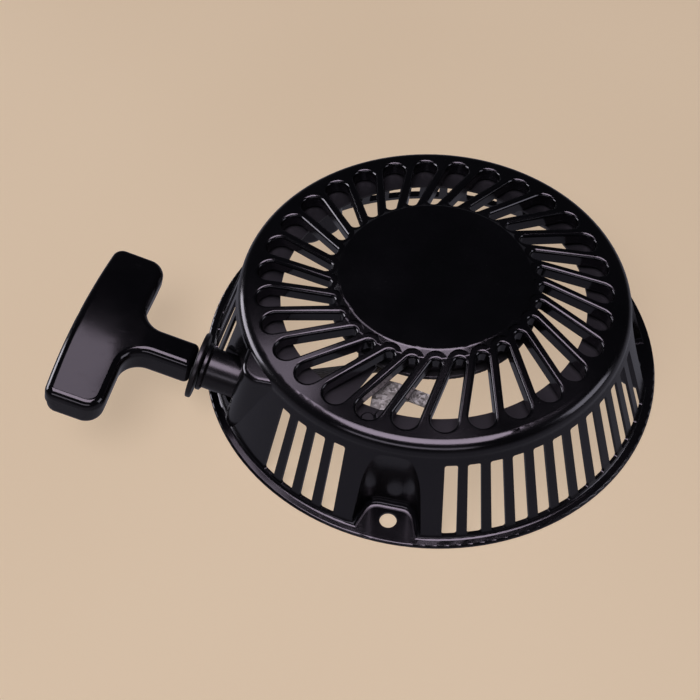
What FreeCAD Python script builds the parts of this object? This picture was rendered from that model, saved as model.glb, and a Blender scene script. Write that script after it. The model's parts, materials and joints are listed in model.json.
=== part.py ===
import FreeCAD, Part
import math
import os

from FreeCAD import Matrix, Placement, Rotation, Vector

# Recoil starter for a small engine. Millimetres, +Z up.
# The origin is on the engine's crankshaft axis, in the plane of the flange's underside.

UP = Vector(0, 0, 1)

# ---------------------------------------------------------------- driving dimensions
SHEET = 1.2                 # sheet steel of the housing

FLANGE_R = 95.0             # housing: outer radius of the flange
FOOT_R = 91.4               # where the slotted cone meets the flange
CONE_TOP_Z = 36.0
DRUM_R = 78.2               # upright band above the cone
DRUM_TOP_Z = 41.3
DISC_R = 40.6               # raised centre disc, at the foot of its step
DISC_FOOT_Z = 45.4
DISC_TOP_R = 37.6
DISC_Z = 47.2

EAR_ANGLES = (-96.5, -0.5, 131.5)
EAR_HOLE_R = 3.3            # clearance for M6
EAR_PITCH_R = 85.7
EAR_BACK_R = 78.6           # back wall of the recess over each ear

TOP_SLOTS = 30
TOP_SLOT_START = 0.8        # azimuth of the first slot's outer end
TOP_SLOT_SKEW = 9.5         # degrees from the outer end to the inner end
TOP_SLOT_OUTER = (65.7, 4.8)    # radius of the end's centre, radius of the end
TOP_SLOT_INNER = (43.0, 2.1)
TOP_SLOT_ROLL = 1.4         # rounding of the rolled edge
TOP_SLOT_LIP = 5.4          # depth of the rolled lip

SIDE_SLOT_PITCH = 6.0
SIDE_SLOT_Z = (2.3, 33.0)
SIDE_SLOT_HALF = (2.8, 2.4)     # half width at the foot and at the top
SIDE_SLOT_RUNS = ((-81.5, 12), (14.5, 18), (146.5, 9), (-129.5, 4))   # first slot, count

PULL_POINT = Vector(-85.8, -35.4, 20.0)     # on the rope's axis, in the middle of the guide
PULL_AZIMUTH = 173.0
PULL_TILT = 16.0
PULL_TURN = Rotation(UP, PULL_AZIMUTH) * Rotation(Vector(0, -1, 0), PULL_TILT)
PULL_AXIS = PULL_TURN.multVec(Vector(1, 0, 0))
SEAT_X = -12.0              # face of the rope boss, along the pull axis
SEAT_R = 11.5
GUIDE_NECK_R = 6.5
BOSS_SIDE = (-10.0, 14.8)   # across the pull axis
BOSS_TOP_Z = 38.8

GUIDE_BORE_R = 3.0
GUIDE_BARREL_R = 8.4
CLIP_GROOVE_X = (SEAT_X - 3.0, SEAT_X - 1.9)

RING_Z = (35.0, 36.0)
RING_INNER_R = 61.2
RING_OUTER_R = DRUM_R - SHEET
STRAP_RIVETS = ((-14.8, -62.0), (-19.8, -63.6))
RIVET_R = 1.6

COLLAR_X = (0.5, 2.9)       # outer collar of the rope guide
WASHER_X = (3.5, 5.7)       # stop washer
ROPE_SPLIT_X = 3.1          # where the rope's fixed stretch ends and the handle's begins

ROPE_R = 2.25
POST_R = 7.0
POST_FOOT_Z = 11.2
STUB_R = 5.0                # reduced foot of the post, which the friction plate turns on
BOLT_R = 3.0
BUSH_R = 8.6
HUB_R = 10.4
HUB_TOP_Z = 42.0
REEL_LOW_Z = 15.0
REEL_TOP_Z = 35.3
REEL_LOWER_R = 25.0
REEL_UPPER_R = 42.0
REEL_CORE_R = 11.0
KNOT_ANGLE = 120.0
WINDING_R = 21.2
WINDING_Z = (17.3, 32.2)
RUN_OFFSET = WINDING_R + 0.3 + ROPE_R       # the run's distance from the reel's axis
RUN_Z = 22.0

CASE_R = 39.4
CASE_Z = (36.0, 44.0)
SPRING_Z = (36.8, 42.2)
SPRING_TURNS = 9

PAWL_PIVOT_R = 15.0
PAWL_ANGLES = {"a": 205.0, "b": 25.0}
PAWL_SWING = 32.0
PLATE_TURN = 20.0
PAWL_Z = (11.6, 14.6)
PAWL_LEAN = -97.0           # the arm's direction at rest, from its pivot's own radius
PAWL_PIN_REACH = 8.0        # drive pin, measured from the pivot
PAWL_PIN_R = 1.2
PIN_R = 2.0                 # pivot pins
PLATE_Z = (9.7, 10.9)
PLATE_ARM_LEAD = -30.0      # the plate's arms, measured from the pivots

GRIP_LENGTH = 75.6
GRIP_INNER_X = 31.5
GRIP_OUTER_X = 53.0
GRIP_ACROSS = 1.4           # the grip hangs a little to one side of the rope
GRIP_THICK = 15.0
STEM_WIDTH = 12.8
STEM_X = 6.3
KNOT_X = 44.0

# ---------------------------------------------------------------- shape helpers
def polar(radius, degrees, z=0.0):
    angle = math.radians(degrees)
    return Vector(radius * math.cos(angle), radius * math.sin(angle), z)


def spun(shape, degrees):
    """A copy of the shape, turned about the reel's axis."""
    copy = shape.copy()
    copy.rotate(Vector(), UP, degrees)
    return copy


def rounded_edges(corners, lift):
    """Lines and tangent arcs round a closed outline of (x, y, radius); lift maps (x, y) to a Vector."""
    count = len(corners)
    ends = []
    for i, (x, y, radius) in enumerate(corners):
        here = Vector(x, y, 0)
        before = Vector(*corners[i - 1][:2], 0) - here
        after = Vector(*corners[(i + 1) % count][:2], 0) - here
        if radius <= 0:
            ends.append((here, None, here))
            continue
        half = before.getAngle(after) / 2
        reach = radius / math.tan(half)
        middle = (before.normalize() + after.normalize()).normalize()
        crown = here + middle * (radius / math.sin(half) - radius)
        ends.append((here + before * reach, crown, here + after * reach))
    edges = []
    for i, (start, crown, end) in enumerate(ends):
        if crown is not None:
            edges.append(Part.Arc(lift(start), lift(crown), lift(end)).toShape())
        following = ends[(i + 1) % count][0]
        if (following - end).Length > 1e-6:
            edges.append(Part.LineSegment(lift(end), lift(following)).toShape())
    return edges


def outline_face(corners, lift):
    return Part.Face(Part.Wire(rounded_edges(corners, lift)))


def plate(corners, z_low, z_high):
    """A rounded outline in plan, extruded between two heights."""
    face = outline_face(corners, lambda p: Vector(p.x, p.y, z_low))
    return face.extrude(Vector(0, 0, z_high - z_low))


def turned(corners):
    """A solid of revolution from a closed outline of (radius, z, rounding)."""
    face = outline_face(corners, lambda p: Vector(p.x, 0, p.y))
    return face.revolve(Vector(), UP, 360)


def ring(inner, outer, z_low, z_high):
    return turned([(inner, z_low, 0), (outer, z_low, 0), (outer, z_high, 0), (inner, z_high, 0)])


def rod(radius, start, end):
    return Part.makeCylinder(radius, (end - start).Length, start, end - start)


def inset(corners, depth):
    """Moves each side of an open outline inwards; convex corners tighten and hollow ones open."""
    sides = []
    for (x0, y0, _), (x1, y1, _) in zip(corners, corners[1:]):
        along = Vector(x1 - x0, y1 - y0, 0).normalize()
        normal = Vector(-along.y, along.x, 0)
        sides.append((Vector(x0, y0, 0) + normal * depth, along))
    result = []
    for (p, u), (q, v), corner in zip(sides, sides[1:], corners[1:-1]):
        cross = u.x * v.y - u.y * v.x
        step = ((q.x - p.x) * v.y - (q.y - p.y) * v.x) / cross
        meet = p + u * step
        radius = corner[2] - depth if cross > 0 else corner[2] + depth
        result.append((meet.x, meet.y, max(radius, 0.3)))
    return result


def pull_frame(shape):
    """Places a shape made with X out along the pull axis, Y across and Z up from it."""
    axis = PULL_AXIS
    across = UP.cross(axis).normalize()
    rise = axis.cross(across)
    origin = PULL_POINT
    matrix = Matrix(axis.x, across.x, rise.x, origin.x,
                    axis.y, across.y, rise.y, origin.y,
                    axis.z, across.z, rise.z, origin.z,
                    0, 0, 0, 1)
    return shape.transformed(matrix)


def pull_place(x, across=0.0, rise=0.0):
    """A point in the pull frame, as a point of the part."""
    side = UP.cross(PULL_AXIS).normalize()
    return PULL_POINT + PULL_AXIS * x + side * across + PULL_AXIS.cross(side) * rise


# ---------------------------------------------------------------- housing
DOME_SIDE = [
    (FLANGE_R, 0, 0),
    (FLANGE_R, SHEET, 0.9),
    (FOOT_R, SHEET, 1.4),
    (DRUM_R, CONE_TOP_Z, 3.0),
    (DRUM_R, DRUM_TOP_Z, 5.0),
    (DISC_R, DISC_FOOT_Z, 2.0),
    (DISC_TOP_R, DISC_Z, 2.0),
    (0, DISC_Z, 0),
]


def dome(depth):
    """The housing's outer skin as a solid, or the same solid shrunk by the sheet's thickness."""
    if depth == 0:
        return turned([(0, 0, 0)] + DOME_SIDE)
    inner = inset(DOME_SIDE, depth)[2:]
    cone = (FOOT_R - DRUM_R) / (CONE_TOP_Z - SHEET)
    foot_r = inner[0][0] + cone * (inner[0][1] + 1)
    crown = DISC_Z - depth
    return turned([(0, -1, 0), (foot_r, -1, 0)] + inner + [(0, crown, 0)])


def rope_boss(depth):
    """The square shoulder that gives the rope guide a face across the pull axis."""
    low, high = BOSS_SIDE
    block = Part.makeBox(40, high - low - 2 * depth, 60, Vector(SEAT_X - 40 - depth, low + depth, -32))
    block = pull_frame(block)
    upright = [e for e in block.Edges if abs(e.tangentAt(e.FirstParameter).z) > 0.9
               and (e.CenterOfMass - PULL_POINT).dot(PULL_AXIS) > SEAT_X - depth - 2]
    block = block.makeFillet(8.0 - depth, upright)
    base = -1 if depth else 0
    slab = Part.makeBox(400, 400, BOSS_TOP_Z - depth - base, Vector(-200, -200, base))
    block = block.common(slab)
    top = [e for e in block.Edges if e.BoundBox.ZMin > BOSS_TOP_Z - depth - 0.01
           and (e.CenterOfMass - PULL_POINT).dot(PULL_AXIS) > SEAT_X - 38]
    return block.makeFillet(max(2.2 - depth, 0.8), top)


def guide_seat(depth):
    """The round flat where the rope guide sits, cut across the pull axis."""
    return rod(SEAT_R + depth, pull_place(SEAT_X - depth), pull_place(SEAT_X + 30))


def ear_recess(angle, depth):
    """The recess over a bolt ear: a back wall, flared sides and a round floor edge."""
    back, front = EAR_BACK_R - depth, 106
    corner = 7.5 + depth
    sides = [(front, -18.5 - depth, 0), (front, 18.5 + depth, 0),
             (back, 9.6 + depth, corner), (back, -9.6 - depth, corner)]
    block = plate(sides, SHEET - depth, CONE_TOP_Z - 0.4 + depth)
    floor = [e for e in block.Edges if e.BoundBox.ZMax < SHEET - depth + 0.01 and e.BoundBox.XMin < front - 1]
    block = block.makeFillet(2.6 + depth, floor)
    return spun(block, angle)


def top_slot(angle, kind):
    """One slanted, tapered slot of the top: its lip, or the flared cutter that opens it."""
    outer = polar(TOP_SLOT_OUTER[0], angle)
    inner = polar(TOP_SLOT_INNER[0], angle + TOP_SLOT_SKEW)
    slope = (DRUM_TOP_Z - DISC_FOOT_Z) / (DRUM_R - DISC_R)
    for point in (outer, inner):
        point.z = DISC_FOOT_Z + slope * (math.hypot(point.x, point.y) - DISC_R)
    middle = (outer + inner) * 0.5
    radial = Vector(middle.x, middle.y, 0).normalize()
    normal = (UP - radial * slope).normalize()
    along = outer - inner
    length = along.Length
    along = (along - normal * along.dot(normal)).normalize()
    side = normal.cross(along)
    matrix = Matrix(along.x, side.x, normal.x, inner.x,
                    along.y, side.y, normal.y, inner.y,
                    along.z, side.z, normal.z, inner.z,
                    0, 0, 0, 1)

    def stadium(grow, z_low, z_high):
        big, small = TOP_SLOT_OUTER[1] + grow, TOP_SLOT_INNER[1] + grow
        lean = (big - small) / length
        rise = math.sqrt(1 - lean * lean)

        def at(x, r, s):
            return Vector(x - r * lean, s * r * rise, z_low)

        edges = [
            Part.LineSegment(at(0, small, 1), at(length, big, 1)).toShape(),
            Part.Arc(at(length, big, 1), Vector(length + big, 0, z_low), at(length, big, -1)).toShape(),
            Part.LineSegment(at(length, big, -1), at(0, small, -1)).toShape(),
            Part.Arc(at(0, small, -1), Vector(-small, 0, z_low), at(0, small, 1)).toShape(),
        ]
        return Part.Face(Part.Wire(edges)).extrude(Vector(0, 0, z_high - z_low))

    if kind == "lip":
        solid = stadium(1.15, -TOP_SLOT_LIP, -0.55)
    else:
        shelf = 0.03
        solid = stadium(0, -8, 2).fuse(stadium(3, shelf, 2))
        solid = solid.removeSplitter()
        reach = TOP_SLOT_OUTER[1] + 0.1
        seam = [e for e in solid.Edges
                if abs(e.BoundBox.ZMin - shelf) < 1e-3 and abs(e.BoundBox.ZMax - shelf) < 1e-3
                and e.BoundBox.XMin > -TOP_SLOT_INNER[1] - 0.1 and e.BoundBox.XMax < length + reach
                and max(abs(e.BoundBox.YMin), abs(e.BoundBox.YMax)) < reach]
        solid = solid.makeFillet(TOP_SLOT_ROLL, seam)
    return solid.transformed(matrix)


def side_slot(angle):
    low, high = SIDE_SLOT_Z
    foot, head = SIDE_SLOT_HALF
    window = outline_face(
        [(-foot, low, 0.9), (foot, low, 0.9), (head, high, 0.9), (-head, high, 0.9)],
        lambda p: Vector(70, p.x, p.y),
    )
    return spun(window.extrude(Vector(40, 0, 0)), angle)


def make_housing():
    outer = dome(0).fuse(rope_boss(0))
    inner = dome(SHEET).fuse(rope_boss(SHEET))
    for angle in EAR_ANGLES:
        outer = outer.cut(ear_recess(angle, 0))
        inner = inner.cut(ear_recess(angle, SHEET))
    outer = outer.cut(guide_seat(0))
    inner = inner.cut(guide_seat(SHEET))
    skin = outer.cut(inner)
    slot_angles = [TOP_SLOT_START + k * 360.0 / TOP_SLOTS for k in range(TOP_SLOTS)]
    skin = skin.fuse([top_slot(a, "lip") for a in slot_angles])
    cutters = [top_slot(a, "cutter") for a in slot_angles]
    for first, count in SIDE_SLOT_RUNS:
        cutters += [side_slot(first + k * SIDE_SLOT_PITCH) for k in range(count)]
    for angle in EAR_ANGLES:
        cutters.append(rod(EAR_HOLE_R, polar(EAR_PITCH_R, angle, -1), polar(EAR_PITCH_R, angle, 3)))
    cutters.append(make_flange_hole())
    cutters.append(rod(GUIDE_NECK_R + 0.05, pull_place(SEAT_X - 8), pull_place(SEAT_X + 2)))
    return skin.cut(cutters)


def make_flange_hole():
    """The small locating hole in the flange, just beside the rope guide."""
    return rod(2.0, polar(90.6, -159.5, -1), polar(90.6, -159.5, 3))


# ---------------------------------------------------------------- pieces fixed inside the housing
def make_inner_ring():
    """The flat ring welded under the drum, with one tab that reaches in towards the reel."""
    low, high = RING_Z
    flat = turned([(RING_INNER_R, low, 0), (RING_OUTER_R, low, 1.4), (RING_OUTER_R, high + 0.7, 0),
                   (RING_OUTER_R - 1.0, high + 0.7, 0), (RING_OUTER_R - 1.0, high, 0.3),
                   (RING_INNER_R, high, 0)])
    tab = plate([(43, -4.2, 1), (63, -5.2, 0), (63, 5.2, 0), (43, 4.2, 1)], low, high)
    lip = Part.makeBox(1.0, 8.0, 3.4, Vector(43.4, -4.0, low))
    ring_solid = flat.fuse([spun(tab, -121.0), spun(lip, -121.0)]).removeSplitter()
    holes = [rod(RIVET_R, Vector(x, y, low - 1), Vector(x, y, high + 1)) for x, y in STRAP_RIVETS]
    return ring_solid.cut(holes)


def make_keeper_strap():
    """The bare galvanised strap under the ring: a wide foot and a narrow arm beside the reel."""
    top = RING_Z[0]
    strap = plate([(-19.2, -49.0, 1), (-15.9, -44.4, 1), (-10.0, -45.6, 3), (3.0, -50.0, 1),
                   (1.6, -55.6, 1), (-7.2, -52.6, 3), (-10.6, -57.2, 2), (-11.2, -66.0, 3),
                   (-23.0, -67.2, 3), (-19.6, -57.0, 2)], top - 1.0, top)
    holes = [rod(RIVET_R, Vector(x, y, top - 2), Vector(x, y, top + 1)) for x, y in STRAP_RIVETS]
    return strap.cut(holes)


def make_keeper_rivets():
    """Two round-headed rivets through the strap and the ring."""
    bottom, top = RING_Z[0] - 1.0, RING_Z[1]
    rivet = turned([(0, bottom - 1.1, 0), (2.2, bottom - 1.1, 0.8), (2.9, bottom, 0), (RIVET_R, bottom, 0),
                    (RIVET_R, top, 0), (2.9, top, 0), (2.2, top + 1.1, 0.8), (0, top + 1.1, 0)])
    return Part.makeCompound([rivet.translated(Vector(x, y, 0)) for x, y in STRAP_RIVETS])


def make_spring_case():
    """The cup under the raised disc that holds the mainspring; it opens downwards."""
    low, high = CASE_Z
    crown = DISC_Z - SHEET
    wall = 1.2
    return turned([
        (POST_R, crown - wall, 0), (20, crown - wall, 1.5), (24, high - wall, 1.5),
        (CASE_R - wall, high - wall, 0.6), (CASE_R - wall, low, 0), (CASE_R, low, 0),
        (CASE_R, high, 1.6), (24, high, 2.5), (20, crown, 2.5), (POST_R, crown, 0),
    ])


def make_hub_post():
    """The steel post the reel turns on, with a tapped hole for the centre bolt."""
    crown = DISC_Z - SHEET
    washer_top = PLATE_Z[0] - 0.3
    post = turned([(0, washer_top, 0), (STUB_R, washer_top, 0), (STUB_R, POST_FOOT_Z, 0),
                   (POST_R, POST_FOOT_Z, 0.5), (POST_R, crown, 0), (0, crown, 0)])
    return post.cut(rod(BOLT_R, Vector(0, 0, washer_top - 1), Vector(0, 0, 28)))


def make_thrust_washer():
    top = PLATE_Z[0] - 0.3
    return ring(BOLT_R + 0.2, 10.0, top - 1.2, top)


def make_centre_bolt():
    """A hexagon bolt with a flange, screwed up into the post."""
    seat = PLATE_Z[0] - 0.3 - 1.2
    flats = 5.0
    corners = [polar(flats / math.cos(math.radians(30)), 60 * k) for k in range(6)]
    head = plate([(p.x, p.y, 0) for p in corners], seat - 4.2, seat - 0.9)
    dome_cut = turned([(0, seat - 4.2, 0), (4.9, seat - 4.2, 0), (6.0, seat - 3.6, 0), (6.0, seat, 0),
                       (0, seat, 0)])
    collar = turned([(0, seat - 0.9, 0), (7.4, seat - 0.9, 0.4), (7.4, seat, 0), (0, seat, 0)])
    shank = rod(BOLT_R, Vector(0, 0, seat), Vector(0, 0, 26))
    return head.common(dome_cut).fuse([collar, shank]).removeSplitter()


# ---------------------------------------------------------------- reel and what turns with it
def make_reel():
    """The rope reel: two flanges, a hub that reaches up into the spring and bosses for the pawls."""
    low, high = WINDING_Z[0] - 0.3, WINDING_Z[1] + 0.3
    body = turned([
        (BUSH_R, REEL_LOW_Z, 0), (REEL_LOWER_R, REEL_LOW_Z, 0.8), (REEL_LOWER_R, low, 0.8),
        (REEL_CORE_R, low, 0), (REEL_CORE_R, high, 0), (30.5, high, 3),
        (REEL_UPPER_R, REEL_TOP_Z - 1.8, 0.6), (REEL_UPPER_R, REEL_TOP_Z, 0.6),
        (HUB_R, REEL_TOP_Z, 0.6), (HUB_R, HUB_TOP_Z, 0.5), (BUSH_R, HUB_TOP_Z, 0),
    ])
    hook_slot = Part.makeBox(2.4, 1.6, 10, Vector(BUSH_R + 0.6, -0.8, REEL_TOP_Z + 1.0))
    knot_pocket = rod(3.6, polar(17.5, KNOT_ANGLE, high - 0.5), polar(17.5, KNOT_ANGLE, REEL_TOP_Z + 1))
    pin_holes = [rod(PIN_R, polar(PAWL_PIVOT_R, a, REEL_LOW_Z - 1), polar(PAWL_PIVOT_R, a, low + 1))
                 for a in PAWL_ANGLES.values()]
    return body.cut([hook_slot, knot_pocket] + pin_holes)


def make_reel_bush():
    return ring(POST_R + 0.05, BUSH_R, REEL_LOW_Z, HUB_TOP_Z)


def make_rope_winding():
    """The wound rope as one solid: rope layers with a rounded outer face."""
    low, high = WINDING_Z
    return turned([(REEL_CORE_R, low, 0), (WINDING_R, low, 1.8),
                   (WINDING_R, high, 1.8), (REEL_CORE_R, high, 0)])


def make_reel_knot():
    """The knot that stops the rope's inner end in the reel's upper flange."""
    low = WINDING_Z[1] + 0.3
    knot = turned([(0, low, 0), (2.2, low, 0.4), (3.3, low + 1.2, 0.8),
                   (2.6, low + 2.7, 0.8), (0, low + 2.7, 0)])
    return knot.translated(polar(17.5, KNOT_ANGLE))


def make_mainspring():
    """A flat spiral spring of half-circle arcs from the hub's slot to the case's wall."""
    low, high = SPRING_Z
    start, end = HUB_R + 0.5, CASE_R - 2.2
    thickness = 0.5
    halves = 2 * SPRING_TURNS
    step = (end - start) / halves
    def side(shift):
        edges = []
        x, sign = start + shift, 1
        for k in range(halves):
            far = start + shift + step * (k + 1)
            centre = (x * sign - far * sign) / 2
            radius = (x + far) / 2
            edges.append(Part.Arc(Vector(x * sign, 0, low), Vector(centre, radius * sign, low),
                                  Vector(-far * sign, 0, low)).toShape())
            x, sign = far, -sign
        return edges
    inner, outer = side(0), side(thickness)
    a, b = inner[0].Vertexes[0].Point, outer[0].Vertexes[0].Point
    c, d = inner[-1].Vertexes[-1].Point, outer[-1].Vertexes[-1].Point
    caps = [Part.LineSegment(a, b).toShape(), Part.LineSegment(c, d).toShape()]
    wire = Part.Wire(Part.__sortEdges__(inner + outer + caps))
    return Part.Face(wire).extrude(Vector(0, 0, high - low))


def make_pawl_pins():
    """Two steel pins pressed in the reel; a pawl turns on each."""
    pin = turned([(0, PAWL_Z[0] - 0.1, 0), (PIN_R, PAWL_Z[0] - 0.1, 0.4), (PIN_R, WINDING_Z[0], 0),
                  (0, WINDING_Z[0], 0)])
    return Part.makeCompound([pin.translated(polar(PAWL_PIVOT_R, a)) for a in PAWL_ANGLES.values()])


def make_pawl(angle):
    """One steel pawl: an eye, a bowed arm with a square nose, and a drive pin that points down."""
    eye = rod(3.9, Vector(0, 0, PAWL_Z[0]), Vector(0, 0, PAWL_Z[1]))
    arm = plate([(-1.0, -3.2, 1.2), (9.0, -3.2, 5), (15.6, -0.9, 0.4), (15.2, 3.0, 0.6), (7.0, 2.6, 4),
                 (-1.0, 3.2, 1.2)], *PAWL_Z)
    pin = rod(PAWL_PIN_R, Vector(PAWL_PIN_REACH, 0, PLATE_Z[0] + 0.1), Vector(PAWL_PIN_REACH, 0, PAWL_Z[0]))
    pawl = eye.fuse([arm, pin]).removeSplitter()
    pawl = pawl.cut(rod(PIN_R + 0.06, Vector(0, 0, PAWL_Z[0] - 1), Vector(0, 0, PAWL_Z[1] + 1)))
    pawl.rotate(Vector(), UP, angle + PAWL_LEAN)
    return pawl.translated(polar(PAWL_PIVOT_R, angle))


def pawl_pin_path(angle):
    """Where a pawl's drive pin passes, seen from the turning friction plate."""
    stops = 14
    places = []
    for k in range(-1, stops + 2):
        share = k / stops
        arm = polar(PAWL_PIN_REACH, angle + PAWL_LEAN + PAWL_SWING * share)
        pin = polar(PAWL_PIVOT_R, angle) + arm
        places.append(Rotation(UP, -PLATE_TURN * share).multVec(pin))
    return places


def make_friction_plate():
    """The pressed plate that lags behind the reel and drives both pawls out by their pins."""
    low, high = PLATE_Z
    disc = ring(STUB_R + 0.06, 14.0, low, high)
    arm = plate([(10, -6.5, 2), (20.3, -5.5, 2.5), (20.3, 5.5, 2.5), (10, 6.5, 2)], low, high)
    arms = [spun(arm, a + PLATE_ARM_LEAD) for a in PAWL_ANGLES.values()]
    disc = disc.fuse(arms).removeSplitter()
    slots = []
    for angle in PAWL_ANGLES.values():
        slots += [rod(PAWL_PIN_R + 0.35, Vector(p.x, p.y, low - 1), Vector(p.x, p.y, high + 1))
                  for p in pawl_pin_path(angle)]
    return disc.cut(slots)


def make_friction_spring():
    """The flat coil that presses the friction plate against its washer."""
    low, high = PLATE_Z[1] + 0.3, REEL_LOW_Z
    turns = [ring(POST_R + 0.6, POST_R + 1.8, low + k * 1.25, low + k * 1.25 + 1.0) for k in range(3)]
    links = [spun(Part.makeBox(1.2, 1.6, 0.3, Vector(POST_R + 0.6, -0.8, low + k * 1.25 + 0.98)), 140 * k)
             for k in range(2)]
    return turns[0].fuse(turns[1:] + links)


# ---------------------------------------------------------------- rope guide, rope and handle
def along_pull(corners):
    """A solid of revolution about the pull axis, from an outline of (x, radius, rounding)."""
    face = outline_face(corners, lambda p: Vector(p.x, 0, p.y))
    return pull_frame(face.revolve(Vector(), Vector(1, 0, 0), 360))


def make_rope_guide():
    """The nylon guide: a barrel outside the boss, a collar, and a grooved neck through the sheet."""
    inner_end = SEAT_X - 4.4
    groove_low, groove_high = CLIP_GROOVE_X
    collar_in, collar_out = COLLAR_X
    return along_pull([
        (inner_end, GUIDE_BORE_R + 1.4, 0.5), (inner_end, GUIDE_NECK_R, 0.3),
        (groove_low, GUIDE_NECK_R, 0), (groove_low, GUIDE_NECK_R - 0.9, 0),
        (groove_high, GUIDE_NECK_R - 0.9, 0), (groove_high, GUIDE_NECK_R, 0),
        (SEAT_X, GUIDE_NECK_R, 0), (SEAT_X, GUIDE_BARREL_R, 0), (collar_in, GUIDE_BARREL_R, 0.4),
        (collar_in + 0.8, 9.8, 0.3), (collar_out, 9.8, 0.5), (collar_out, GUIDE_BORE_R + 1.2, 0.8),
        (collar_out - 2.0, GUIDE_BORE_R, 0.8),
        (inner_end + 2.4, GUIDE_BORE_R, 1.5),
    ])


def make_guide_clip():
    """An open retaining ring in the neck's groove, inside the housing."""
    low, high = CLIP_GROOVE_X
    low += 0.05
    inner = GUIDE_NECK_R - 0.85
    clip = along_pull([(low, inner, 0), (high, inner, 0), (high, 9.0, 0), (low, 9.0, 0)])
    gap = pull_frame(Part.makeBox(4, 8.4, 12, Vector(low - 1.5, -4.2, -14)))
    return clip.cut(gap)


def rope_route():
    """The fixed stretch of rope: past the winding, into the guide's mouth and out to the handle."""
    mouth = pull_place(SEAT_X - 4.4)
    flat = Vector(mouth.x, mouth.y, 0)
    bearing = math.degrees(math.atan2(flat.y, flat.x))
    lift = math.degrees(math.acos(RUN_OFFSET / flat.Length))
    touch = polar(RUN_OFFSET, bearing + lift, RUN_Z)
    return touch, mouth, pull_place(ROPE_SPLIT_X)


def tube_along(points, radius):
    """A round tube along straight runs that tangent arcs join."""
    edges, here = [], points[0]
    for before, corner, after in zip(points, points[1:], points[2:]):
        to_before, to_after = (before - corner), (after - corner)
        half = to_before.getAngle(to_after) / 2
        reach = 0.45 * min(to_before.Length, to_after.Length)
        bend = reach * math.tan(half)
        u, v = to_before.normalize(), to_after.normalize()
        crown = corner + (u + v).normalize() * (bend / math.sin(half) - bend)
        edges.append(Part.LineSegment(here, corner + u * reach).toShape())
        edges.append(Part.Arc(corner + u * reach, crown, corner + v * reach).toShape())
        here = corner + v * reach
    edges.append(Part.LineSegment(here, points[-1]).toShape())
    path = Part.Wire(edges)
    circle = Part.Circle(points[0], points[1] - points[0], radius)
    return path.makePipeShell([Part.Wire(circle.toShape())], True, True)


def make_rope_run():
    return tube_along(rope_route(), ROPE_R)


def make_rope_lead():
    """The rope's outer end, from the guide's mouth up the handle's stem to its knot."""
    return rod(ROPE_R, pull_place(ROPE_SPLIT_X + 0.3), pull_place(KNOT_X))


def make_stop_washer():
    """The loose plastic disc between the guide and the handle; it hangs a little low on the rope."""
    drop = -1.0
    low, high = WASHER_X
    disc = along_pull([(low, 4.0, 0.4), (low, 13.4, 0.7), (high, 13.4, 0.7), (high, 4.0, 0.4)])
    return disc.translated(pull_place(0, 0, drop) - PULL_POINT)


def handle_outline(trim):
    """The T of the handle in plan, in the pull frame; trim draws it in all round."""
    half, stem = GRIP_LENGTH / 2 - trim, STEM_WIDTH / 2 - trim
    near, far = GRIP_INNER_X + trim, GRIP_OUTER_X - trim
    return [
        (STEM_X, -stem, 2), (near, -stem, 9), (near - 0.6, -half, 7), (far, -half, 4.5),
        (far + 3.6, 0, 330), (far, half, 4.5), (near - 0.6, half, 7), (near, stem, 9), (STEM_X, stem, 2),
    ]


def make_handle_grip():
    """The moulded T-handle: a full upper half, a slightly smaller lower half, rounded all round."""
    middle, half = 0.0, GRIP_THICK / 2
    upper = plate(handle_outline(0), middle, half)
    lower = plate(handle_outline(0.6), -half, middle)
    upper_rim = [e for e in upper.Edges if e.BoundBox.ZMin > half - 0.01]
    lower_rim = [e for e in lower.Edges if e.BoundBox.ZMax < -half + 0.01]
    grip = upper.makeFillet(3.4, upper_rim).fuse(lower.makeFillet(3.6, lower_rim))
    stem_bore = rod(ROPE_R + 0.6, Vector(STEM_X - 1, 0, 0), Vector(KNOT_X + 1, 0, 0))
    knot_room = rod(5.6, Vector(KNOT_X, 0, 0), Vector(GRIP_OUTER_X + 5, 0, 0))
    grip.translate(Vector(0, GRIP_ACROSS, 0))
    return pull_frame(grip.cut([stem_bore, knot_room]))


def make_handle_knot():
    """The stopper knot at the rope's end, inside the grip."""
    return along_pull([(KNOT_X, 0, 0), (KNOT_X, 3.6, 0.6), (KNOT_X + 2.2, 5.0, 1.6), (KNOT_X + 5.4, 4.6, 1.8),
                       (KNOT_X + 7.0, 2.6, 0.8), (KNOT_X + 7.0, 0, 0)])


def make_handle_plug():
    """The round plug that closes the knot's hole in the grip's outer face."""
    end = GRIP_OUTER_X + 1.2
    return along_pull([(end - 3.0, 0, 0), (end - 3.0, 5.6, 0), (end, 5.6, 0.8), (end + 0.3, 2.0, 1),
                       (end + 0.3, 0, 0)])


NODES = {
    "housing": make_housing,
    "inner_ring": make_inner_ring,
    "keeper_strap": make_keeper_strap,
    "keeper_rivets": make_keeper_rivets,
    "spring_case": make_spring_case,
    "hub_post": make_hub_post,
    "thrust_washer": make_thrust_washer,
    "centre_bolt": make_centre_bolt,
    "rope_guide": make_rope_guide,
    "guide_clip": make_guide_clip,
    "rope_run": make_rope_run,
    "reel": make_reel,
    "reel_bush": make_reel_bush,
    "rope_winding": make_rope_winding,
    "reel_knot": make_reel_knot,
    "mainspring": make_mainspring,
    "pawl_pins": make_pawl_pins,
    "friction_spring": make_friction_spring,
    "friction_plate": make_friction_plate,
    "pawl_a": lambda: make_pawl(PAWL_ANGLES["a"]),
    "pawl_b": lambda: make_pawl(PAWL_ANGLES["b"]),
    "handle_grip": make_handle_grip,
    "handle_plug": make_handle_plug,
    "handle_knot": make_handle_knot,
    "stop_washer": make_stop_washer,
    "rope_lead": make_rope_lead,
}


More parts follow.
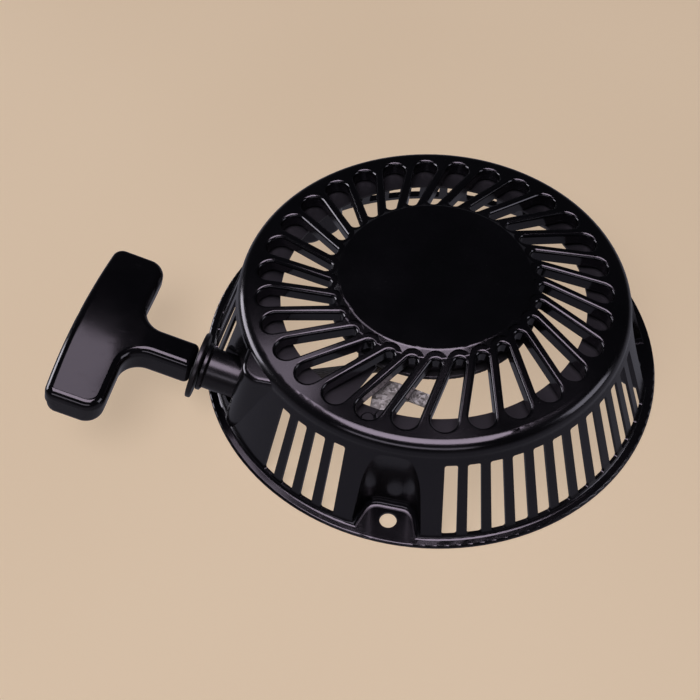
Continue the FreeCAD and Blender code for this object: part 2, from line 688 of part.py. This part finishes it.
def main():
    os.makedirs("parts", exist_ok=True)
    for name, make in NODES.items():
        shape = make()
        if not shape.isValid() or shape.Volume <= 0:
            print("not a clean solid:", name)
        shape.exportStep("parts/" + name + ".step")
        print(name, len(shape.Solids), round(shape.Volume))


main()
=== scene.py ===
import json
import math

import bmesh
import bpy
from mathutils import Matrix, Vector


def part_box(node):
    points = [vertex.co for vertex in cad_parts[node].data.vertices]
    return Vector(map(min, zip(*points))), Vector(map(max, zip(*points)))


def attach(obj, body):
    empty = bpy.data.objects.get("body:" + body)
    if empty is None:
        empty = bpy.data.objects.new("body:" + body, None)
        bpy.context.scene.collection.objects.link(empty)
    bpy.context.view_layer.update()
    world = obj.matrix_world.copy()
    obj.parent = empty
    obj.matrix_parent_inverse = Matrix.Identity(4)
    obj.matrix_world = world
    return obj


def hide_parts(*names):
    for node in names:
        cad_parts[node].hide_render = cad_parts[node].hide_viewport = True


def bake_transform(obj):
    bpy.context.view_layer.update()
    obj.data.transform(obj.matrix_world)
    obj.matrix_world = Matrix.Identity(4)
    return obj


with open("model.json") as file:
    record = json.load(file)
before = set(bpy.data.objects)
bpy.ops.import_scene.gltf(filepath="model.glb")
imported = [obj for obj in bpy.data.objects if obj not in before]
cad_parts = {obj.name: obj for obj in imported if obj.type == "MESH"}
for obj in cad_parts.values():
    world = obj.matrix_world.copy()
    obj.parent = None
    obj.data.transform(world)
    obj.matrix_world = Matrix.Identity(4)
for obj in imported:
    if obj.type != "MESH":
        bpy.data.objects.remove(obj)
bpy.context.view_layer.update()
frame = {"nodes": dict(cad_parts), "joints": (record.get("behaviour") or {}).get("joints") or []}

MM = 0.001

# ---------------------------------------------------------------- places, from the frame
SLIDE = next(j for j in frame["joints"] if j["name"] == "handle_pull")
PULL_AXIS = Vector(SLIDE["axis"]).normalized()
LEAD_LOW, LEAD_HIGH = (Vector(c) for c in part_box("rope_lead"))
ROPE_R = 2.25 * MM


def centre(node):
    low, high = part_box(node)
    return (Vector(low) + Vector(high)) / 2


# A slanted cylinder's box is its axis plus its radius across the axis.
LEAD_LENGTH = (LEAD_HIGH.x - LEAD_LOW.x - 2 * ROPE_R * math.sqrt(1 - PULL_AXIS.x ** 2)) / abs(PULL_AXIS.x)
LEAD_START = centre("rope_lead") - PULL_AXIS * LEAD_LENGTH / 2


# ---------------------------------------------------------------- material helpers
class Surface:
    """A Principled material and short names for the nodes that feed it."""

    def __init__(self, name, **sockets):
        self.material = bpy.data.materials.new(name)
        self.material.use_nodes = True
        self.tree = self.material.node_tree
        self.shader = self.tree.nodes["Principled BSDF"]
        for key, value in sockets.items():
            self.shader.inputs[key.replace("_", " ")].default_value = value
        self.coords = self.tree.nodes.new("ShaderNodeTexCoord").outputs["Object"]

    def node(self, kind, settings=(), **inputs):
        """A shader node; i0, i1 and so on give its inputs by number, any other key gives one by name."""
        made = self.tree.nodes.new("ShaderNode" + kind)
        for key, value in dict(settings).items():
            setattr(made, key, value)
        for key, value in inputs.items():
            by_number = key[0] == "i" and key[1:].isdigit()
            socket = made.inputs[int(key[1:]) if by_number else key.replace("_", " ")]
            if isinstance(value, bpy.types.NodeSocket):
                self.tree.links.new(value, socket)
            else:
                socket.default_value = value
        return made

    def noise(self, size, detail=2.0, roughness=0.5, distortion=0.0, vector=None):
        """Noise whose features are about size metres across."""
        return self.node("TexNoise", Vector=vector or self.coords, Scale=1 / size, Detail=detail,
                         Roughness=roughness, Distortion=distortion).outputs["Fac"]

    def ramp(self, fac, *stops):
        """A colour ramp of (place, colour or grey) stops."""
        made = self.node("ValToRGB", Fac=fac)
        band = made.color_ramp
        while len(band.elements) < len(stops):
            band.elements.new(0.5)
        for element, (place, colour) in zip(band.elements, stops):
            element.position = place
            channels = (colour,) * 3 if isinstance(colour, (int, float)) else colour
            element.color = (*channels, 1)
        return made.outputs["Color"]

    def math(self, operation, a, b=0.0):
        return self.node("Math", {"operation": operation}, i0=a, i1=b).outputs[0]

    def spread(self, fac, low, high, start=0.3, end=0.7):
        """Maps fac between start and end to low and high."""
        return self.node("MapRange", i0=fac, i1=start, i2=end, i3=low, i4=high).outputs[0]

    def mix(self, fac, a, b):
        made = self.node("Mix", {"data_type": "RGBA"}, i0=fac, i6=a, i7=b)
        return made.outputs[2]

    def feed(self, socket, value):
        self.tree.links.new(value, self.shader.inputs[socket])

    def bump(self, *layers):
        """Stacks bumps of (height, strength, depth in metres) and feeds the normal."""
        normal = None
        for height, strength, depth in layers:
            made = self.node("Bump", Height=height, Strength=strength, Distance=depth)
            if normal is not None:
                self.tree.links.new(normal, made.inputs["Normal"])
            normal = made.outputs["Normal"]
        self.feed("Normal", normal)


def rgb(r, g, b):
    return (r, g, b, 1.0)


def black_paint(name, rough=(0.13, 0.22), deep=(0.0035, 0.0036, 0.0048), pale=(0.0065, 0.0062, 0.0085)):
    """Black stove enamel on pressed steel: faint orange peel, cloudy gloss, fine dust."""
    s = Surface(name, Specular_IOR_Level=0.55, Coat_Weight=0.15, Coat_Roughness=0.12)
    s.shader.inputs["Specular Tint"].default_value = rgb(0.93, 0.88, 1.0)
    cloud = s.noise(0.03, 3, 0.55)
    dust = s.ramp(s.noise(0.0007, 2, 0.6), (0.66, 0.0), (0.74, 1.0))
    patchy = s.math("MULTIPLY", dust, s.spread(s.noise(0.05, 2), 0.0, 0.5))
    colour = s.ramp(cloud, (0.3, deep), (0.75, pale))
    s.feed("Base Color", s.mix(patchy, colour, rgb(0.05, 0.048, 0.052)))
    s.feed("Roughness", s.math("ADD", s.spread(cloud, *rough), s.math("MULTIPLY", patchy, 0.25)))
    s.bump((s.noise(0.0016, 2, 0.5), 0.12, 0.00006), (s.noise(0.00035, 2, 0.6), 0.06, 0.00003))
    return s.material


def moulded_plastic(name, rough, grain, deep, pale, waves=0.1):
    """Black moulded plastic: slow sink marks, a fine grain and faint handling marks."""
    s = Surface(name, Specular_IOR_Level=0.5)
    s.shader.inputs["Specular Tint"].default_value = rgb(0.95, 0.91, 1.0)
    flow = s.noise(0.018, 3, 0.5, 0.6)
    stretched = s.node("Mapping", Vector=s.coords, Scale=(1, 9, 3), Rotation=(0.1, 0.2, 0.5)).outputs[0]
    marks = s.ramp(s.noise(0.012, 5, 0.7, 0.2, stretched), (0.62, 0.0), (0.66, 1.0))
    s.feed("Base Color", s.ramp(flow, (0.25, deep), (0.8, pale)))
    s.feed("Roughness", s.math("ADD", s.spread(flow, *rough), s.math("MULTIPLY", marks, 0.10)))
    s.bump((s.noise(0.016, 1, 0.4), waves, 0.0006), (s.noise(grain, 2, 0.6), 0.08, 0.00004),
           (marks, 0.05, 0.00001))
    return s.material


def galvanised(name):
    """Zinc spangle: crystals about a millimetre across, each with its own grey and gloss."""
    s = Surface(name, Metallic=0.35)
    drift = s.node("TexNoise", Vector=s.coords, Scale=700.0).outputs["Color"]
    shift = s.node("VectorMath", {"operation": "SCALE"}, i0=drift, Scale=0.0012).outputs[0]
    warped = s.node("VectorMath", {"operation": "ADD"}, i0=s.coords, i1=shift).outputs[0]
    cells = s.node("TexVoronoi", Vector=warped, Scale=900.0)
    tone = s.node("SeparateColor", Color=cells.outputs["Color"]).outputs[0]
    grey = s.ramp(tone, (0.0, (0.42, 0.38, 0.38)), (0.45, (0.66, 0.61, 0.61)), (0.8, (0.88, 0.84, 0.84)),
                  (1.0, (1.0, 0.97, 0.97)))
    stain = s.ramp(s.noise(0.004, 4, 0.65), (0.42, 0.0), (0.72, 1.0))
    s.feed("Base Color", s.mix(s.math("MULTIPLY", stain, 0.3), grey, rgb(0.26, 0.21, 0.20)))
    s.feed("Roughness", s.spread(tone, 0.28, 0.52, 0.0, 1.0))
    s.bump((cells.outputs["Distance"], 0.25, 0.0001), (s.noise(0.0005, 3, 0.6), 0.15, 0.00004))
    return s.material


def plated_steel(name, colour, rough, streak=(1, 1, 12)):
    """Machined steel: fine lines, small colour drift and a few dull stains."""
    s = Surface(name, Metallic=1.0)
    lined = s.node("Mapping", Vector=s.coords, Scale=streak).outputs[0]
    lines = s.noise(0.0012, 3, 0.6, 0.0, lined)
    stain = s.ramp(s.noise(0.006, 4, 0.6, 0.4), (0.5, 0.0), (0.8, 1.0))
    light, dark = [c * 1.15 for c in colour], [c * 0.72 for c in colour]
    s.feed("Base Color", s.mix(s.math("MULTIPLY", stain, 0.5), s.ramp(lines, (0.3, dark), (0.7, light)),
                               rgb(*[c * 0.35 for c in colour])))
    s.feed("Roughness", s.math("ADD", s.spread(lines, *rough), s.math("MULTIPLY", stain, 0.2)))
    s.bump((lines, 0.12, 0.00004), (s.noise(0.0004, 2, 0.5), 0.06, 0.00002))
    return s.material


def bearing_bronze(name):
    """Sintered bronze: oily, speckled with pores."""
    s = Surface(name, Metallic=1.0)
    pores = s.ramp(s.noise(0.0005, 3, 0.7), (0.36, 1.0), (0.46, 0.0))
    patches = s.ramp(s.noise(0.006, 3), (0.3, (0.42, 0.26, 0.12)), (0.7, (0.6, 0.4, 0.2)))
    s.feed("Base Color", s.mix(pores, patches, rgb(0.10, 0.06, 0.03)))
    s.feed("Roughness", s.math("ADD", s.spread(s.noise(0.004, 2), 0.3, 0.45), s.math("MULTIPLY", pores, 0.3)))
    s.bump((s.math("SUBTRACT", 1.0, pores), 0.3, 0.00006))
    return s.material


def braided_rope(name, along, around, plaits=8, pitch=0.0065):
    """A braided cord: two families of strands cross each other over the surface."""
    s = Surface(name, Sheen_Weight=0.25, Sheen_Roughness=0.5)
    along, around = along(s), around(s)
    step = s.math("MULTIPLY", along, 2 * math.pi / pitch)
    turn = s.math("MULTIPLY", around, float(plaits))
    left = s.math("ABSOLUTE", s.math("SINE", s.math("ADD", step, turn)))
    right = s.math("ABSOLUTE", s.math("SINE", s.math("SUBTRACT", step, turn)))
    weave = s.math("MAXIMUM", left, right)
    fibres = s.noise(0.00025, 3, 0.7)
    # The colour follows the weave's height: the grooves between strands are darkened as painted shade and the
    # strand crowns lightened, while the fibre noise adds the yarn's own tone.
    tone = s.math("ADD", s.math("MULTIPLY", weave, 0.75), s.math("MULTIPLY", fibres, 0.35))
    soil = s.ramp(s.noise(0.006, 3, 0.6), (0.4, 0.0), (0.75, 1.0))
    colour = s.ramp(tone, (0.35, (0.008, 0.008, 0.009)), (0.75, (0.045, 0.045, 0.05)),
                    (1.0, (0.085, 0.083, 0.088)))
    s.feed("Base Color", s.mix(s.math("MULTIPLY", soil, 0.5), colour, rgb(0.03, 0.025, 0.022)))
    s.feed("Roughness", s.spread(fibres, 0.55, 0.85))
    s.bump((weave, 0.8, 0.0004), (fibres, 0.3, 0.0001))
    return s.material


def rope_along_pull():
    """Braid laid out along the pull axis, so that it keeps its size however far the rope is out."""
    side = Vector((0, 0, 1)).cross(PULL_AXIS).normalized()
    rise = PULL_AXIS.cross(side)

    def dot(s, direction):
        shifted = s.node("VectorMath", {"operation": "SUBTRACT"}, i0=s.coords, i1=tuple(LEAD_START))
        product = s.node("VectorMath", {"operation": "DOT_PRODUCT"}, i0=shifted.outputs[0],
                         i1=tuple(direction))
        return product.outputs["Value"]

    return braided_rope("rope_braid_pull", lambda s: dot(s, PULL_AXIS),
                        lambda s: s.math("ARCTAN2", dot(s, rise), dot(s, side)))


def rope_by_uv():
    """The same braid on a tube whose UVs are metres along it and turns round it."""
    def part(s, index):
        uv = s.node("UVMap", {"uv_map": "tube"}).outputs["UV"]
        return s.node("SeparateXYZ", Vector=uv).outputs[index]

    return braided_rope("rope_braid_tube", lambda s: part(s, 0),
                        lambda s: s.math("MULTIPLY", part(s, 1), 2 * math.pi))


# ---------------------------------------------------------------- mesh helpers
def spline_points(name, route, steps=10):
    """Evenly spread points of a NURBS spline with the route's points as its control points."""
    data = bpy.data.curves.new(name, "CURVE")
    data.dimensions = "3D"
    spline = data.splines.new("NURBS")
    spline.points.add(len(route) - 1)
    for point, place in zip(spline.points, route):
        point.co = (*place, 1)
    spline.order_u = 3
    spline.use_endpoint_u = True
    spline.resolution_u = steps
    holder = bpy.data.objects.new(name, data)
    bpy.context.scene.collection.objects.link(holder)
    bpy.context.view_layer.update()
    mesh = bpy.data.meshes.new_from_object(holder.evaluated_get(bpy.context.evaluated_depsgraph_get()))
    points = [v.co.copy() for v in mesh.vertices]
    bpy.data.objects.remove(holder)
    bpy.data.meshes.remove(mesh)
    bpy.data.curves.remove(data)
    return points


def tube(name, points, radius, sides):
    """A closed round tube along the points, with UVs in metres along and turns round."""
    bm = bmesh.new()
    uv = bm.loops.layers.uv.new("tube")
    rings, lengths, travelled = [], [], 0.0
    tangent = (points[1] - points[0]).normalized()
    side = tangent.orthogonal().normalized()
    for i, place in enumerate(points):
        before, after = points[max(i - 1, 0)], points[min(i + 1, len(points) - 1)]
        new_tangent = (after - before).normalized()
        side = (side - new_tangent * side.dot(new_tangent)).normalized()
        other = new_tangent.cross(side)
        if i:
            travelled += (place - points[i - 1]).length
        rings.append([bm.verts.new(place + (side * math.cos(a) + other * math.sin(a)) * radius)
                      for a in (2 * math.pi * k / sides for k in range(sides))])
        lengths.append(travelled)
    for i in range(len(points) - 1):
        for k in range(sides):
            k2 = (k + 1) % sides
            face = bm.faces.new((rings[i][k], rings[i][k2], rings[i + 1][k2], rings[i + 1][k]))
            face.smooth = True
            corners = ((i, k), (i, k + 1), (i + 1, k + 1), (i + 1, k))
            for loop, (row, column) in zip(face.loops, corners):
                loop[uv].uv = (lengths[row], column / sides)
    for row, flip in ((rings[0], True), (rings[-1], False)):
        bm.faces.new(row[::-1] if flip else row)
    bm.normal_update()
    mesh = bpy.data.meshes.new(name)
    bm.to_mesh(mesh)
    bm.free()
    made = bpy.data.objects.new(name, mesh)
    bpy.context.scene.collection.objects.link(made)
    return made


def dress(obj, material):
    obj.data.materials.clear()
    obj.data.materials.append(material)


# ---------------------------------------------------------------- rope
ROPE_SLIM = 0.99            # a little under the CAD rope, so the piece stays inside its box
WOUND_SLIM = 0.98
GUIDE_MOUTH = 19.8 * MM     # the guide's inner mouth, back along the pull axis from the lead's start
RUN_RADIUS = 23.75 * MM     # where the run leaves the winding, from the reel's axis
RUN_LEVEL = 22.0 * MM
ONTO_REEL = ((96, 18.4), (72, 20.6), (48, 22.6), (24, 24.4))    # degrees round the reel, radius in mm


def make_pull_rope(material):
    """The rope from the guide to the handle's knot. Its points are close together at its guide end."""
    points = [LEAD_START + PULL_AXIS * (x * MM) for x in (-0.2, 0, 0.5, 1.0, 1.5, 2.0, 2.5, 6, 12, 20, 30)]
    points.append(LEAD_START + PULL_AXIS * (LEAD_LENGTH - 0.1 * MM))
    rope = tube("pull_rope", points, ROPE_R * ROPE_SLIM, 28)
    dress(rope, material)
    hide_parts("rope_lead")
    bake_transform(rope)


def make_inner_rope(material):
    """The rope from the winding through the guide, wrapped a little way onto the reel."""
    mouth = LEAD_START - PULL_AXIS * GUIDE_MOUTH
    flat = Vector((mouth.x, mouth.y, 0))
    touch_angle = math.atan2(flat.y, flat.x) + math.acos(RUN_RADIUS / flat.length)

    def on_reel(turned, radius):
        angle = touch_angle + math.radians(turned)
        return Vector((radius * math.cos(angle), radius * math.sin(angle), RUN_LEVEL))

    touch = on_reel(0, RUN_RADIUS)
    to_reel = (touch - mouth).normalized()
    route = [on_reel(turned, radius * MM) for turned, radius in ONTO_REEL]
    route += [touch + to_reel * 2 * MM, touch.lerp(mouth, 0.5), mouth + to_reel * 8 * MM, mouth,
              mouth + PULL_AXIS * 8 * MM, LEAD_START - PULL_AXIS * 0.4 * MM]
    rope = tube("inner_rope", spline_points("inner_rope_route", route), ROPE_R * ROPE_SLIM, 20)
    dress(rope, material)
    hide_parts("rope_run")
    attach(rope, "housing")


def make_wound_rope(material):
    """Two layers of rope wound on the reel's core."""
    low, high = (Vector(c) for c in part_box("rope_winding"))
    outer_r = high.x - ROPE_R
    inner_r = outer_r - 2 * ROPE_R
    bottom, top = low.z + ROPE_R, high.z - ROPE_R
    turns = (top - bottom) / (2 * ROPE_R)
    steps = 40
    count = int(turns * steps)
    layers = []
    for radius, first, last in ((inner_r, bottom, top), (outer_r, top, bottom)):
        for i in range(count + 1):
            share = i / count
            angle = 2 * math.pi * turns * share + (2 * math.pi * turns if radius == outer_r else 0)
            layers.append(Vector((radius * math.cos(angle), radius * math.sin(angle),
                                  first + (last - first) * share)))
    rope = tube("wound_rope", layers, ROPE_R * WOUND_SLIM, 18)
    dress(rope, material)
    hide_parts("rope_winding")
    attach(rope, "reel")


def make_friction_coil(material):
    """The wire coil under the reel, whose two ends lie flat."""
    low, high = (Vector(c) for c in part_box("friction_spring"))
    wire = 0.5 * MM
    radius = high.x - wire
    turns, steps = 2.75, 44
    flat_end = 0.12             # share of the wire that lies flat at each end
    points = []
    for i in range(int(turns * steps) + 1):
        share = i / (turns * steps)
        lift = min(max((share - flat_end) / (1 - 2 * flat_end), 0), 1)
        angle = 2 * math.pi * turns * share
        points.append(Vector((radius * math.cos(angle), radius * math.sin(angle),
                              low.z + wire + (high.z - low.z - 2 * wire) * lift)))
    coil = tube("friction_coil", points, wire, 14)
    dress(coil, material)
    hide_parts("friction_spring")
    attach(coil, "reel")


# ---------------------------------------------------------------- stage
FLOOR_REACH, FLOOR_Z = 6.0, -0.0006
MIDDLE = (0, 0, 0.03)
ABOVE_HANDLE = (-0.118, 0.03)
CAMERA_PLACE, CAMERA_AIM = (0, -0.2727, 0.3488), (-0.03086, -0.02436, 0.025)
CAMERA_ROLL, CAMERA_LENS, CAMERA_SENSOR = math.radians(0.765), 53.05, 36.0


def area_light(name, place, aim, size, power, colour=(1, 1, 1), lights="all"):
    """A soft box. One for "gloss" shows only in reflections; one for "diffuse" has no reflection."""
    data = bpy.data.lights.new(name, "AREA")
    data.shape = "RECTANGLE"
    data.size, data.size_y = size
    data.energy = power
    data.color = colour
    lamp = bpy.data.objects.new(name, data)
    bpy.context.scene.collection.objects.link(lamp)
    lamp.location = place
    lamp.rotation_euler = (Vector(aim) - Vector(place)).to_track_quat("-Z", "Y").to_euler()
    lamp.visible_diffuse = lights != "gloss"
    lamp.visible_glossy = lights != "diffuse"
    lamp.visible_camera = False


def make_floor():
    """A plain pale floor that also glows a little, so that it stays even under the part."""
    mesh = bpy.data.meshes.new("floor")
    corners = [(x * FLOOR_REACH, y * FLOOR_REACH, FLOOR_Z) for x, y in ((-1, -1), (1, -1), (1, 1), (-1, 1))]
    mesh.from_pydata(corners, [], [(0, 1, 2, 3)])
    floor = bpy.data.objects.new("floor", mesh)
    bpy.context.scene.collection.objects.link(floor)
    s = Surface("floor_card", Roughness=0.9, Specular_IOR_Level=0.1, Emission_Strength=0.80)
    tan = s.ramp(s.noise(0.4, 2, 0.5), (0.3, (0.60, 0.46, 0.335)), (0.7, (0.645, 0.50, 0.37)))
    s.feed("Base Color", tan)
    s.feed("Emission Color", tan)
    mesh.materials.append(s.material)
    # The black paint would mirror the glow, so reflections pass the floor by.
    floor.visible_glossy = False


def make_lights():
    """A world dim grey below the horizon and nearly black above, a diffuse key and reflection cards."""
    world = bpy.data.worlds.new("studio")
    world.use_nodes = True
    tree = world.node_tree
    direction = tree.nodes.new("ShaderNodeSeparateXYZ")
    tree.links.new(tree.nodes.new("ShaderNodeTexCoord").outputs["Generated"], direction.inputs[0])
    shade = tree.nodes.new("ShaderNodeValToRGB")
    shade.color_ramp.elements.new(0.36)
    for stop, place, grey in zip(shade.color_ramp.elements, (0.18, 0.36, 0.56), (0.16, 0.20, 0.02)):
        stop.position = place
        stop.color = (grey, grey * 0.98, grey * 1.16, 1)
    height = tree.nodes.new("ShaderNodeMapRange")
    height.inputs[1].default_value = -1.0
    tree.links.new(direction.outputs["Z"], height.inputs[0])
    tree.links.new(height.outputs[0], shade.inputs[0])
    tree.links.new(shade.outputs[0], tree.nodes["Background"].inputs["Color"])
    bpy.context.scene.world = world
    area_light("overhead", (0.0, -0.15, 0.95), (0, -0.15, 0), (0.8, 0.54), 8.5, (1.0, 0.87, 0.98), "gloss")
    area_light("handle_card", (*ABOVE_HANDLE, 0.22), (*ABOVE_HANDLE, 0), (0.07, 0.09), 0.05,
               (1.0, 0.88, 1.0), "gloss")
    area_light("key", (-0.3, -0.5, 1.1), MIDDLE, (0.8, 0.8), 3.7, lights="diffuse")
    area_light("left_panel", (-0.85, 0.20, 0.22), MIDDLE, (0.5, 0.36), 3.5, (0.97, 0.95, 1.0), "gloss")
    area_light("right_panel", (0.85, -0.10, 0.30), MIDDLE, (0.4, 0.4), 1.2, (0.92, 0.92, 1.0), "gloss")
    area_light("front_strip", (-0.1, -1.0, 0.60), MIDDLE, (1.2, 0.22), 1.8, (0.97, 0.92, 1.0), "gloss")


def make_camera():
    """Seen from the front at about 52 degrees above the horizon."""
    data = bpy.data.cameras.new("camera")
    data.sensor_width = CAMERA_SENSOR
    data.lens = CAMERA_LENS
    data.clip_start = 0.01
    camera = bpy.data.objects.new("camera", data)
    bpy.context.scene.collection.objects.link(camera)
    place, aim = Vector(CAMERA_PLACE), Vector(CAMERA_AIM)
    turn = (aim - place).to_track_quat("-Z", "Y").to_matrix() @ Matrix.Rotation(-CAMERA_ROLL, 3, "Z")
    camera.matrix_world = Matrix.Translation(place) @ turn.to_4x4()
    bpy.context.scene.camera = camera


# ---------------------------------------------------------------- everything
def dress_nodes():
    """Every CAD node that shows gets the material of what it is made of; returns two for the new pieces."""
    paint = black_paint("housing_enamel")
    ring = black_paint("ring_enamel", (0.34, 0.48), (0.008, 0.008, 0.010), (0.018, 0.017, 0.021))
    case = black_paint("case_enamel", (0.30, 0.45))
    grip = moulded_plastic("grip_plastic", (0.07, 0.13), 0.0008, (0.005, 0.005, 0.007), (0.010, 0.009, 0.012))
    nylon = moulded_plastic("guide_nylon", (0.20, 0.30), 0.0005,
                            (0.006, 0.006, 0.008), (0.012, 0.011, 0.014), 0.04)
    washer = moulded_plastic("washer_plastic_black", (0.26, 0.38), 0.0005,
                             (0.007, 0.007, 0.008), (0.014, 0.013, 0.015))
    reel = moulded_plastic("reel_nylon", (0.42, 0.58), 0.0006,
                           (0.015, 0.015, 0.017), (0.032, 0.031, 0.034), 0.06)
    zinc = plated_steel("bright_zinc", (0.62, 0.62, 0.60), (0.24, 0.40))
    blued = plated_steel("blued_spring", (0.16, 0.19, 0.26), (0.22, 0.38), (1, 1, 6))
    hardened = plated_steel("hardened_pawl", (0.36, 0.35, 0.34), (0.30, 0.46), (8, 1, 1))
    bronze = bearing_bronze("oil_bronze")
    spangle = galvanised("zinc_spangle")
    braid = rope_by_uv()
    finishes = {
        paint: ["housing"],
        ring: ["inner_ring", "keeper_rivets"],
        case: ["spring_case"],
        grip: ["handle_grip", "handle_plug"],
        nylon: ["rope_guide"],
        washer: ["stop_washer"],
        reel: ["reel"],
        zinc: ["hub_post", "thrust_washer", "centre_bolt", "pawl_pins"],
        blued: ["mainspring", "guide_clip"],
        hardened: ["pawl_a", "pawl_b"],
        spangle: ["keeper_strap", "friction_plate"],
        bronze: ["reel_bush"],
        rope_along_pull(): ["reel_knot", "handle_knot"],
    }
    for material, nodes in finishes.items():
        for node in nodes:
            dress(frame["nodes"][node], material)
    return braid, blued


braid, blued = dress_nodes()
make_pull_rope(bpy.data.materials["rope_braid_pull"])
make_inner_rope(braid)
make_wound_rope(braid)
make_friction_coil(blued)
make_camera()
make_lights()
make_floor()
bpy.context.scene.view_settings.view_transform = "Standard"
